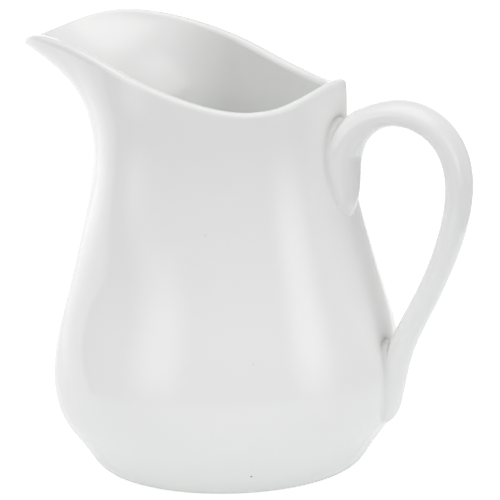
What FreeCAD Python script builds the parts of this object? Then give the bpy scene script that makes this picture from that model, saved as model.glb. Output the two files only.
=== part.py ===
"""Glazed porcelain sauce jug: pear-shaped body, saddle rim with a broad spout, strap handle.

+Z is up, the spout points to -X, the handle to +X. The origin is on the body's axis,
in the plane that the foot ring stands on. All lengths are millimetres.
"""
import FreeCAD, Part
import math
import os
import Sketcher
from FreeCAD import Placement, Rotation, Vector

os.makedirs("parts", exist_ok=True)
doc = FreeCAD.newDocument("sauce_jug")
sizes = doc.addObject("Spreadsheet::Sheet", "sizes")

# Body stations from the foot up: name, level, radius of the round, reach of the spout
STATIONS = [
    ("foot", 0.0, 35.9, 0.0),
    ("toe", 0.8, 37.3, 0.0),
    ("heel", 5.0, 40.4, 0.0),
    ("base", 11.0, 44.8, 0.0),
    ("swell", 18.0, 48.1, 0.0),
    ("belly", 27.0, 48.9, 0.0),
    ("flank", 39.0, 46.9, 0.0),
    ("body", 53.0, 42.8, 0.3),
    ("shoulder", 67.0, 38.9, 1.1),
    ("waist", 80.0, 35.9, 3.3),
    ("neck", 92.0, 34.5, 4.8),
    ("collar", 102.0, 34.3, 7.6),
    ("chin", 110.0, 33.7, 14.3),
    ("lip", 117.0, 33.1, 24.4),
    ("brim", 125.0, 32.2, 33.0),
]

# Saddle line of the rim from the spout to the handle: name, place along X, height
RIM = [
    ("start", -70.0, 111.3),
    ("tip", -60.0, 115.6),
    ("beak", -48.0, 121.2),
    ("crest", -34.0, 121.2),
    ("slope", -18.0, 116.7),
    ("middle", 0.0, 109.5),
    ("dip", 14.0, 105.1),
    ("low", 24.0, 104.6),
    ("rise", 31.0, 108.0),
    ("tab", 36.0, 115.0),
]

# Handle stations from the upper root to the lower: along X, height, half width, half thickness
STRAP = [
    (35.6, 69.8, 2.2, 1.2),
    (35.6, 76.0, 6.2, 3.6),
    (35.4, 83.7, 8.8, 4.2),
    (36.3, 90.7, 9.6, 4.3),
    (40.2, 96.8, 8.4, 4.2),
    (46.6, 100.5, 6.8, 3.6),
    (54.3, 101.1, 6.2, 3.6),
    (62.1, 97.8, 6.0, 3.6),
    (67.3, 91.1, 5.9, 3.5),
    (69.0, 81.7, 5.8, 3.5),
    (67.4, 70.9, 5.7, 3.4),
    (63.5, 59.6, 5.5, 3.2),
    (58.1, 48.2, 5.3, 3.2),
    (52.2, 36.4, 5.3, 3.4),
    (48.6, 23.0, 5.3, 3.5),
    (47.6, 18.2, 5.0, 3.0),
    (44.4, 14.9, 2.8, 1.1),
]

SINGLE = [
    ("wall", 3.8),               # porcelain thickness all over, handle apart
    ("spout_start", 55.0),       # level where the spout begins to draw out of the round
    ("mouth_side", 1.05),        # widening of the mouth to both sides
    ("cheek_share", 0.97),       # part of the reach that the spout's two cheeks take
    ("cheek_pinch", 0.5),        # how far the cheeks close in halfway up the spout
    ("cheek_flare", 0.25),       # how far they open again at the brim
    ("side_fill", 0.27),         # swelling of the sides towards the spout
    ("foot_width", 4.0),         # width of the foot ring
    ("foot_rounding", 1.2),      # inner edge of the foot ring
    ("foot_depth", 2.6),         # height of the recess inside the foot ring
    ("floor_thickness", 4.6),    # floor between the recess and the inside
    ("floor_rounding", 8.0),     # inside corner between floor and wall
    ("rim_rounding", 1.3),       # both edges of the rim
    ("root_rounding", 1.0),      # joint between handle and body
]

POLES = 12                                              # control points round one outline
TURN = 2 * math.pi / POLES
POLE_RATIO = 1 / (2 / 3 + math.cos(TURN) / 3)           # control point radius for a unit round
INSET_STEPS = 2 * POLES                                 # points that carry an outline's inner curve


def fillSheet():
    """Write every driving size into the sheet, one named cell to a row."""
    rows = []
    for name, level, round_radius, reach in STATIONS:
        rows += [(name + "_level", level), (name + "_round", round_radius), (name + "_reach", reach)]
    for name, place, height in RIM:
        rows += [("rim_" + name + "_place", place), ("rim_" + name + "_height", height)]
    for number, (out, up, half_width, half_thick) in enumerate(STRAP):
        strap = "strap_%d_" % number
        rows += [(strap + "out", out), (strap + "up", up)]
        rows += [(strap + "width", half_width), (strap + "thick", half_thick)]
    rows += SINGLE
    for row, (alias, value) in enumerate(rows, start=1):
        sizes.set("A%d" % row, alias.replace("_", " "))
        sizes.set("B%d" % row, str(value))
        sizes.setAlias("B%d" % row, alias)
    doc.recompute()


def size(alias):
    return float(sizes.get(alias))


def outline(level, round_radius, reach):
    """Control points of one level outline, from the handle side round by +Y to the spout and back."""
    drawn = max(level - size("spout_start"), 0) / (size("brim_level") - size("spout_start"))
    halfway = 4 * drawn * (1 - drawn)
    side = 1 + (size("mouth_side") - 1) * drawn
    fading = min(3 * drawn, 1)
    pinch = (size("cheek_pinch") * halfway - size("cheek_flare") * (1 - halfway)) * fading
    points = []
    for pole in range(POLES):
        turn = pole * TURN
        x = round_radius * POLE_RATIO * math.cos(turn)
        y = round_radius * POLE_RATIO * math.sin(turn) * side
        steps_from_spout = abs(pole - POLES // 2)
        if steps_from_spout == 0:
            x -= reach
        elif steps_from_spout == 1:
            x -= reach * size("cheek_share")
            y *= 1 - pinch
        elif steps_from_spout == 2:
            y *= 1 + size("side_fill") * fading
        points.append(Vector(x, y, 0))
    return points


def smoothCurve(points):
    """Closed cubic curve steered by an outline's control points."""
    curve = Part.BSplineCurve()
    curve.buildFromPolesMultsKnots(points, [1] * (POLES + 1), list(range(POLES + 1)), True, 3)
    return curve


def insetCurve(lower, middle, upper, rise):
    """Closed curve so far inside an outline that the wall is even where it slopes to the next ones."""
    below, here, above = (smoothCurve(points) for points in (lower, middle, upper))
    points = []
    for step in range(INSET_STEPS):
        place = here.FirstParameter + POLES * step / INSET_STEPS
        along = here.tangent(place)[0]
        outward = Vector(along.y, -along.x, 0)
        slope = (above.value(place) - below.value(place)).dot(outward) / rise
        points.append(here.value(place) - outward * size("wall") * math.sqrt(1 + slope ** 2))
    curve = Part.BSplineCurve()
    curve.interpolate(Points=points, PeriodicFlag=True, Parameters=list(range(INSET_STEPS + 1)))
    return curve


def plane(body, role):
    return [face for face in body.Origin.OriginFeatures if face.Role == role][0]


def newSketch(body, name, role):
    sketch = body.newObject("Sketcher::SketchObject", name)
    sketch.AttachmentSupport = [(plane(body, role), "")]
    sketch.MapMode = "FlatFace"
    return sketch


def addLevel(body, name, level_expression, curve):
    """Sketch at a level that holds one closed curve."""
    sketch = newSketch(body, name, "XY_Plane")
    sketch.addGeometry(curve)
    sketch.setExpression("AttachmentOffset.Base.z", level_expression)
    return sketch


def addLoft(body, kind, name, sketches):
    loft = body.newObject(kind, name)
    loft.Profile = sketches[0]
    loft.Sections = [(sketch, [""]) for sketch in sketches[1:]]
    return loft


def addOval(body, number):
    """Oval across the handle at one station, turned to face along the handle's path."""
    last = len(STRAP) - 1
    here = "sizes.strap_%d_" % number
    before = "sizes.strap_%d_" % max(number - 1, 0)
    after = "sizes.strap_%d_" % min(number + 1, last)
    sketch = newSketch(body, "strap_oval_%d" % number, "XY_Plane")
    oval = sketch.addGeometry(Part.Ellipse(Vector(0, 6, 0), Vector(3, 0, 0), Vector(0, 0, 0)))
    sketch.exposeInternalGeometry(oval)
    across, through = oval + 1, oval + 2
    sketch.addConstraint(Sketcher.Constraint("Coincident", oval, 3, -1, 1))
    sketch.addConstraint(Sketcher.Constraint("Vertical", across))
    for line, alias in ((across, "width"), (through, "thick")):
        limit = sketch.addConstraint(Sketcher.Constraint("Distance", line, 2 * size("wall")))
        sketch.setExpression("Constraints[%d]" % limit, "2 * " + here + alias)
    sketch.AttachmentOffset = Placement(Vector(), Rotation(Vector(0, 1, 0), 1))
    sketch.setExpression("AttachmentOffset.Base.x", here + "out")
    sketch.setExpression("AttachmentOffset.Base.z", here + "up")
    run = "%sout - %sout" % (after, before)
    climb = "%sup - %sup" % (after, before)
    sketch.setExpression("AttachmentOffset.Rotation.Angle", "atan2(%s; %s)" % (run, climb))
    return sketch


def addFillet(body, base, name, edges, radius_expression):
    """Round the chosen edges of the base feature."""
    numbers = [n for n, edge in enumerate(base.Shape.Edges, start=1) if edges(edge.BoundBox, edge.Length)]
    fillet = body.newObject("PartDesign::Fillet", name)
    fillet.Base = (base, ["Edge%d" % n for n in numbers])
    fillet.setExpression("Radius", radius_expression)
    doc.recompute()
    return fillet


fillSheet()
jug = doc.addObject("PartDesign::Body", "jug")
jug.Label = "jug"
names = [name for name, *_ in STATIONS]
levels = [size(name + "_level") for name in names]
outlines = [outline(size(name + "_level"), size(name + "_round"), size(name + "_reach")) for name in names]

# Solid body through the outline at each station
sketches = []
for name, points in zip(names, outlines):
    sketches.append(addLevel(jug, name + "_outline", "sizes." + name + "_level", smoothCurve(points)))
addLoft(jug, "PartDesign::AdditiveLoft", "pear", sketches)
doc.recompute()

# Strap handle through an oval at each of its stations
strap = addLoft(jug, "PartDesign::AdditiveLoft", "strap", [addOval(jug, n) for n in range(len(STRAP))])
doc.recompute()


def isRoot(box, length):
    """The handle's two joint lines lie within the body's outline, clear of foot and brim."""
    within_body = 0 < box.XMin and box.XMax < size("belly_round")
    return within_body and size("heel_level") < box.ZMin and box.ZMax < size("rim_low_height")


roots = addFillet(jug, strap, "roots", isRoot, "sizes.root_rounding")

# Inside: the body's outlines moved in by the wall, from the floor up
floor_level = size("foot_depth") + size("floor_thickness")
above_floor = [n for n, level in enumerate(levels) if level > floor_level + 1]
first = above_floor[0]
share = (floor_level - levels[first - 1]) / (levels[first] - levels[first - 1])
floor_points = [a + (b - a) * share for a, b in zip(outlines[first - 1], outlines[first])]
rise = levels[first] - levels[first - 1]
floor_curve = insetCurve(outlines[first - 1], floor_points, outlines[first], rise)
sketches = [addLevel(jug, "floor_inside", "sizes.foot_depth + sizes.floor_thickness", floor_curve)]
for n in above_floor:
    lower, upper = n - 1, min(n + 1, len(levels) - 1)
    curve = insetCurve(outlines[lower], outlines[n], outlines[upper], levels[upper] - levels[lower])
    sketches.append(addLevel(jug, names[n] + "_inside", "sizes." + names[n] + "_level", curve))
cavity = addLoft(jug, "PartDesign::SubtractiveLoft", "cavity", sketches)
doc.recompute()


def isFloorCorner(box, length):
    return abs(box.ZMin - floor_level) < 0.01 and abs(box.ZMax - floor_level) < 0.01


hollow = addFillet(jug, cavity, "floor_corner", isFloorCorner, "sizes.floor_rounding")

# Saddle rim: everything above the rim line goes, handle apart
saddle = newSketch(jug, "saddle_line", "XZ_Plane")
line = [Vector(size("rim_" + n + "_place"), size("rim_" + n + "_height"), 0) for n, *_ in RIM]
curve = Part.BSplineCurve()
curve.interpolate(line)
top = size("brim_level") + size("wall")
corners = [line[-1], Vector(line[-1].x, top, 0), Vector(line[0].x, top, 0), line[0]]
saddle.addGeometry([curve] + [Part.LineSegment(a, b) for a, b in zip(corners, corners[1:])])
rim_cut = jug.newObject("PartDesign::Pocket", "saddle")
rim_cut.Profile = saddle
rim_cut.SideType = "Symmetric"
rim_cut.setExpression("Length", "4 * sizes.belly_round")
doc.recompute()


def isRim(box, length):
    """The saddle's inner and outer line run round the whole mouth, above the handle."""
    return box.ZMin > size("collar_level") and length > 4 * size("brim_round")


rim = addFillet(jug, rim_cut, "rim", isRim, "sizes.rim_rounding")

# Foot ring: a shallow recess underneath, its edge rounded
recess_sketch = newSketch(jug, "recess_circle", "XY_Plane")
circle = recess_sketch.addGeometry(Part.Circle(Vector(0, 0, 0), Vector(0, 0, 1), size("foot_round") / 2))
recess_sketch.addConstraint(Sketcher.Constraint("Coincident", circle, 3, -1, 1))
limit = recess_sketch.addConstraint(Sketcher.Constraint("Radius", circle, size("foot_round") / 2))
recess_sketch.setExpression("Constraints[%d]" % limit, "sizes.foot_round - sizes.foot_width")
recess = jug.newObject("PartDesign::Pocket", "recess")
recess.Profile = recess_sketch
recess.Reversed = True
recess.setExpression("Length", "sizes.foot_depth")
doc.recompute()


def isRecessEdge(box, length):
    return box.ZMax < 0.01 and box.ZMin > -0.01 and box.XMax < size("foot_round") - size("foot_width") / 2


foot = addFillet(jug, recess, "foot_edge", isRecessEdge, "sizes.foot_rounding")

# Nothing is written unless every object built and the pot came out whole
failed = [o.Name for o in doc.Objects if "Invalid" in o.State or "Error" in o.State]
if failed:
    raise RuntimeError("not built: " + ", ".join(failed))
if recess.Shape.Volume > rim.Shape.Volume - 1:
    raise RuntimeError("the recess under the foot cut nothing")
shape = jug.Shape
if shape.isNull() or not shape.isValid() or len(shape.Solids) != 1:
    raise RuntimeError("the jug isn't one sound solid")
shape.exportStep("parts/" + jug.Label + ".step")
box = shape.BoundBox
print("jug", round(box.XLength, 1), round(box.YLength, 1), round(box.ZLength, 1), "mm,")
print("porcelain", round(shape.Volume / 1000, 1), "cm3")
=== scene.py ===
import math

import bpy
from mathutils import Matrix, Vector

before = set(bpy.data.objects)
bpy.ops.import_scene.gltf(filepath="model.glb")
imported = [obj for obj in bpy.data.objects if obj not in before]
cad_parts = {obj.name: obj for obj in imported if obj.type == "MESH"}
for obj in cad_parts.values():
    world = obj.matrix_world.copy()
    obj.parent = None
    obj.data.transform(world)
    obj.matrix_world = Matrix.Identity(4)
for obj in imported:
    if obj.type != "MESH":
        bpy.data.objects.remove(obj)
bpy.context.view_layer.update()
scene = bpy.context.scene
mm = 0.001
upwards = Vector((0, 0, 1))


# Shader helpers
def makeMaterial(name):
    material = bpy.data.materials.new(name)
    material.use_nodes = True
    tree = material.node_tree
    return material, tree, tree.nodes["Principled BSDF"]


def fill(tree, socket, value):  # a plain value is set on the socket, an output is linked to it
    if isinstance(value, bpy.types.NodeSocket):
        tree.links.new(value, socket)
    else:
        socket.default_value = value


def addMath(tree, operation, *values):
    node = tree.nodes.new("ShaderNodeMath")
    node.operation = operation
    for socket, value in zip(node.inputs, values):
        fill(tree, socket, value)
    return node.outputs[0]


def addVectorMath(tree, operation, vector, fixed):
    node = tree.nodes.new("ShaderNodeVectorMath")
    node.operation = operation
    tree.links.new(vector, node.inputs[0])
    node.inputs[1].default_value = fixed
    return node.outputs["Value"]


def addSmoothStep(tree, value, low, high):
    node = tree.nodes.new("ShaderNodeMapRange")
    node.interpolation_type = "SMOOTHSTEP"
    fill(tree, node.inputs["Value"], value)
    fill(tree, node.inputs["From Min"], low)
    fill(tree, node.inputs["From Max"], high)
    return node.outputs["Result"]


def mixValues(tree, factor, first, second):
    node = tree.nodes.new("ShaderNodeMix")
    fill(tree, node.inputs["Factor"], factor)
    fill(tree, node.inputs["A"], first)
    fill(tree, node.inputs["B"], second)
    return node.outputs["Result"]


def mixColours(tree, factor, first, second):
    node = tree.nodes.new("ShaderNodeMix")
    node.data_type = "RGBA"
    factorIn, firstIn, secondIn = (node.inputs[index] for index in (0, 6, 7))  # the colour sockets
    fill(tree, factorIn, factor)
    fill(tree, firstIn, first)
    fill(tree, secondIn, second)
    return node.outputs[2]


def addProfile(tree, factor, steps):  # each step is a place from 0 to 1 and a value
    tallest = max(value for _, value in steps)
    node = tree.nodes.new("ShaderNodeValToRGB")
    ramp = node.color_ramp
    while len(ramp.elements) < len(steps):
        ramp.elements.new(0.5)
    for element, (place, value) in zip(ramp.elements, steps):
        element.position = place
        element.color = (value / tallest,) * 3 + (1,)
    tree.links.new(factor, node.inputs[0])
    return addMath(tree, "MULTIPLY", node.outputs["Color"], tallest)


# Jug: the CAD solid under a clear glaze, bare on the ring it stands on, with painted shade deep in
# its joints
jugLook = {
    "glaze": (0.925, 0.930, 0.922, 1),
    "glazeRoughness": 0.07,
    "glazeIor": 1.5,
    # painted shade for the joints: its colour, how far occlusion looks and where the shade fades
    # in
    "paintedCreaseShade": (0.16, 0.16, 0.15, 1),
    "creaseShadeDepth": 5.5 * mm,
    "creaseShadeFrom": 0.48,
    "creaseShadeTo": 0.28,
    "creaseShadeSamples": 12,
    "bisque": (0.70, 0.68, 0.64, 1),
    "bisqueRoughness": 0.75,
    "bareBelow": 0.12 * mm,
    "waveScale": 38.0,
    "waveDetail": 1.0,
    "waveHeight": 0.03 * mm,
    "speckColour": (0.22, 0.20, 0.18, 1),
    "specks": [  # the middle of each one and its radius
        ((0.0216, -0.0351, 0.0062), 0.27 * mm),
        ((0.0104, -0.0366, 0.0725), 0.11 * mm),
        ((0.0249, -0.0397, 0.0390), 0.11 * mm),
    ],
}
porcelain, tree, shader = makeMaterial("glazedPorcelain")
shader.inputs["IOR"].default_value = jugLook["glazeIor"]
onJug = tree.nodes.new("ShaderNodeTexCoord").outputs["Object"]

# Painted shade: the glaze turns dark grey where ambient occlusion finds the surface closed in, as
# in the handle's joints
occlusion = tree.nodes.new("ShaderNodeAmbientOcclusion")
occlusion.samples = jugLook["creaseShadeSamples"]
occlusion.only_local = True
occlusion.inputs["Distance"].default_value = jugLook["creaseShadeDepth"]
outOfCreaseShade = addSmoothStep(tree, occlusion.outputs["AO"], jugLook["creaseShadeTo"], jugLook["creaseShadeFrom"])
colour = mixColours(tree, outOfCreaseShade, jugLook["paintedCreaseShade"], jugLook["glaze"])

for middle, radius in jugLook["specks"]:
    away = addVectorMath(tree, "DISTANCE", onJug, middle)
    speck = addMath(tree, "LESS_THAN", away, radius)
    colour = mixColours(tree, speck, colour, jugLook["speckColour"])

aboveTable = addVectorMath(tree, "DOT_PRODUCT", onJug, upwards)
bare = addMath(tree, "LESS_THAN", aboveTable, jugLook["bareBelow"])
colour = mixColours(tree, bare, colour, jugLook["bisque"])
tree.links.new(colour, shader.inputs["Base Color"])
rougher = jugLook["bisqueRoughness"] - jugLook["glazeRoughness"]
roughness = addMath(tree, "MULTIPLY_ADD", bare, rougher, jugLook["glazeRoughness"])
tree.links.new(roughness, shader.inputs["Roughness"])

waves = tree.nodes.new("ShaderNodeTexNoise")
waves.inputs["Scale"].default_value = jugLook["waveScale"]
waves.inputs["Detail"].default_value = jugLook["waveDetail"]
tree.links.new(onJug, waves.inputs["Vector"])
bump = tree.nodes.new("ShaderNodeBump")
bump.inputs["Distance"].default_value = jugLook["waveHeight"]
tree.links.new(waves.outputs[0], bump.inputs["Height"])
tree.links.new(bump.outputs["Normal"], shader.inputs["Normal"])

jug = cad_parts["jug"]
jug.data.materials.clear()
jug.data.materials.append(porcelain)
for face in jug.data.polygons:
    face.use_smooth = True
print("jug done")

# Camera: a little above the rim, turned towards the handle side; angles in degrees
cameraView = {
    "turn": 23.51,
    "rise": 13.21,
    "roll": -1.23,
    "distance": 0.8799,
    "aim": (0.00736, 0, 0.06015),
    "framedWidth": 0.13889,
    "sensor": 36.0,
}
turn, rise, roll = (math.radians(cameraView[key]) for key in ("turn", "rise", "roll"))
toCamera = Vector((math.sin(turn), -math.cos(turn), 0))
right = Vector((math.cos(turn), math.sin(turn), 0))
back = toCamera * math.cos(rise) + upwards * math.sin(rise)
up = back.cross(right)
rolledRight = right * math.cos(roll) + up * math.sin(roll)
rolledUp = up * math.cos(roll) - right * math.sin(roll)
cameraData = bpy.data.cameras.new("camera")
cameraData.sensor_width = cameraView["sensor"]
cameraData.lens = cameraView["distance"] / cameraView["framedWidth"] * cameraView["sensor"]
camera = bpy.data.objects.new("camera", cameraData)
scene.collection.objects.link(camera)
stand = Matrix((rolledRight, rolledUp, back)).transposed().to_4x4()
stand.translation = Vector(cameraView["aim"]) + back * cameraView["distance"]
camera.matrix_world = stand
scene.camera = camera
print("camera done")

# Table: white and narrow, its shadow kept, a little brighter to the camera and in the glaze
tableLook = {
    "width": 0.36,
    "front": 0.25,
    "reach": 1.6,
    "drop": 0.1 * mm,
    "colour": (0.78, 0.79, 0.79, 1),
    "roughness": 0.9,
    "glowColour": (1, 1, 1, 1),
    "glow": 0.12,
    "lift": 0.48,
    "mirrored": 0.22,
}
near, far = toCamera * tableLook["front"], toCamera * -tableLook["reach"]
aside = right * tableLook["width"] / 2
under = upwards * -tableLook["drop"]
corners = [under + near - aside, under + near + aside, under + far + aside, under + far - aside]
tableMesh = bpy.data.meshes.new("table")
tableMesh.from_pydata(corners, [], [(0, 1, 2, 3)])
table = bpy.data.objects.new("table", tableMesh)
scene.collection.objects.link(table)
tableWhite, tree, shader = makeMaterial("whiteTable")
shader.inputs["Base Color"].default_value = tableLook["colour"]
shader.inputs["Roughness"].default_value = tableLook["roughness"]
shader.inputs["Emission Color"].default_value = tableLook["glowColour"]
rays = tree.nodes.new("ShaderNodeLightPath").outputs
direct = addMath(tree, "MAXIMUM", rays["Is Camera Ray"], rays["Is Transmission Ray"])
glow = addMath(tree, "MULTIPLY_ADD", direct, tableLook["lift"], tableLook["glow"])
glow = addMath(tree, "MULTIPLY_ADD", rays["Is Glossy Ray"], tableLook["mirrored"], glow)
tree.links.new(glow, shader.inputs["Emission Strength"])
table.data.materials.append(tableWhite)
print("table done")

# Light tent: brightness by degrees from the camera's side, positive to the camera's left, and by
# height, from -1 straight down to 1 straight up. The walls' pattern turns by wallLean over a
# height of 1
tentLook = {
    "brightness": 0.72,
    "walls": [
        (-180, 1.3), (-163, 1.0), (-154, 0.85), (-120, 0.85), (-90, 0.74), (-70, 0.66), (-36, 0.5),
        (36, 0.5), (70, 0.62), (113.5, 0.46), (114.5, 1.3), (130, 1.4), (150, 1.75), (170, 1.8),
        (180, 1.3),
    ],
    "wallLean": -70.0,
    "wallFade": (0.2, 0.42),
    "aboveWalls": 0.72,
    "lampsAround": [
        (-78, 0), (-64, 1), (-54, 1), (-40, 0), (26, 0), (42, 0.85), (56, 0.85), (74, 0),
    ],
    "lampsUp": [(-0.22, 0), (-0.02, 1.5), (0.2, 2.7), (0.5, 2.6), (0.75, 0)],
    "ceiling": [(0.8, 0), (0.92, 1.5), (1, 1.5)],
    "seen": 1.5,
    "bounces": 10,
}


def turnSteps(steps):  # degrees from -180 to 180 become places from 0 to 1
    return [((degrees + 180) / 360, value) for degrees, value in steps]


def riseSteps(steps):  # heights from -1 to 1 become places from 0 to 1
    return [((height + 1) / 2, value) for height, value in steps]


world = bpy.data.worlds.new("tent")
scene.world = world
world.use_nodes = True
tree = world.node_tree
background = tree.nodes["Background"]
direction = tree.nodes.new("ShaderNodeTexCoord").outputs["Generated"]
ahead = addVectorMath(tree, "DOT_PRODUCT", direction, toCamera)
leftward = addVectorMath(tree, "DOT_PRODUCT", direction, -right)
height = addVectorMath(tree, "DOT_PRODUCT", direction, upwards)
angle = addMath(tree, "ARCTAN2", leftward, ahead)
turnShare = addMath(tree, "MULTIPLY_ADD", angle, 1 / (2 * math.pi), 0.5)
riseShare = addMath(tree, "MULTIPLY_ADD", height, 0.5, 0.5)

leaning = addMath(tree, "MULTIPLY_ADD", height, tentLook["wallLean"] / 360, turnShare)
walls = addProfile(tree, leaning, turnSteps(tentLook["walls"]))
faded = addSmoothStep(tree, height, *tentLook["wallFade"])
light = mixValues(tree, faded, walls, tentLook["aboveWalls"])

lampsAround = addProfile(tree, turnShare, turnSteps(tentLook["lampsAround"]))
lampsUp = addProfile(tree, riseShare, riseSteps(tentLook["lampsUp"]))
lamps = addMath(tree, "MULTIPLY", lampsAround, lampsUp)
light = addMath(tree, "ADD", light, lamps)
light = addMath(tree, "ADD", light, addProfile(tree, height, tentLook["ceiling"]))

rays = tree.nodes.new("ShaderNodeLightPath").outputs
light = mixValues(tree, rays["Is Camera Ray"], light, tentLook["seen"])
tree.links.new(light, background.inputs["Color"])
background.inputs["Strength"].default_value = tentLook["brightness"]
scene.cycles.diffuse_bounces = tentLook["bounces"]
scene.view_settings.view_transform = "Standard"
print("light done")
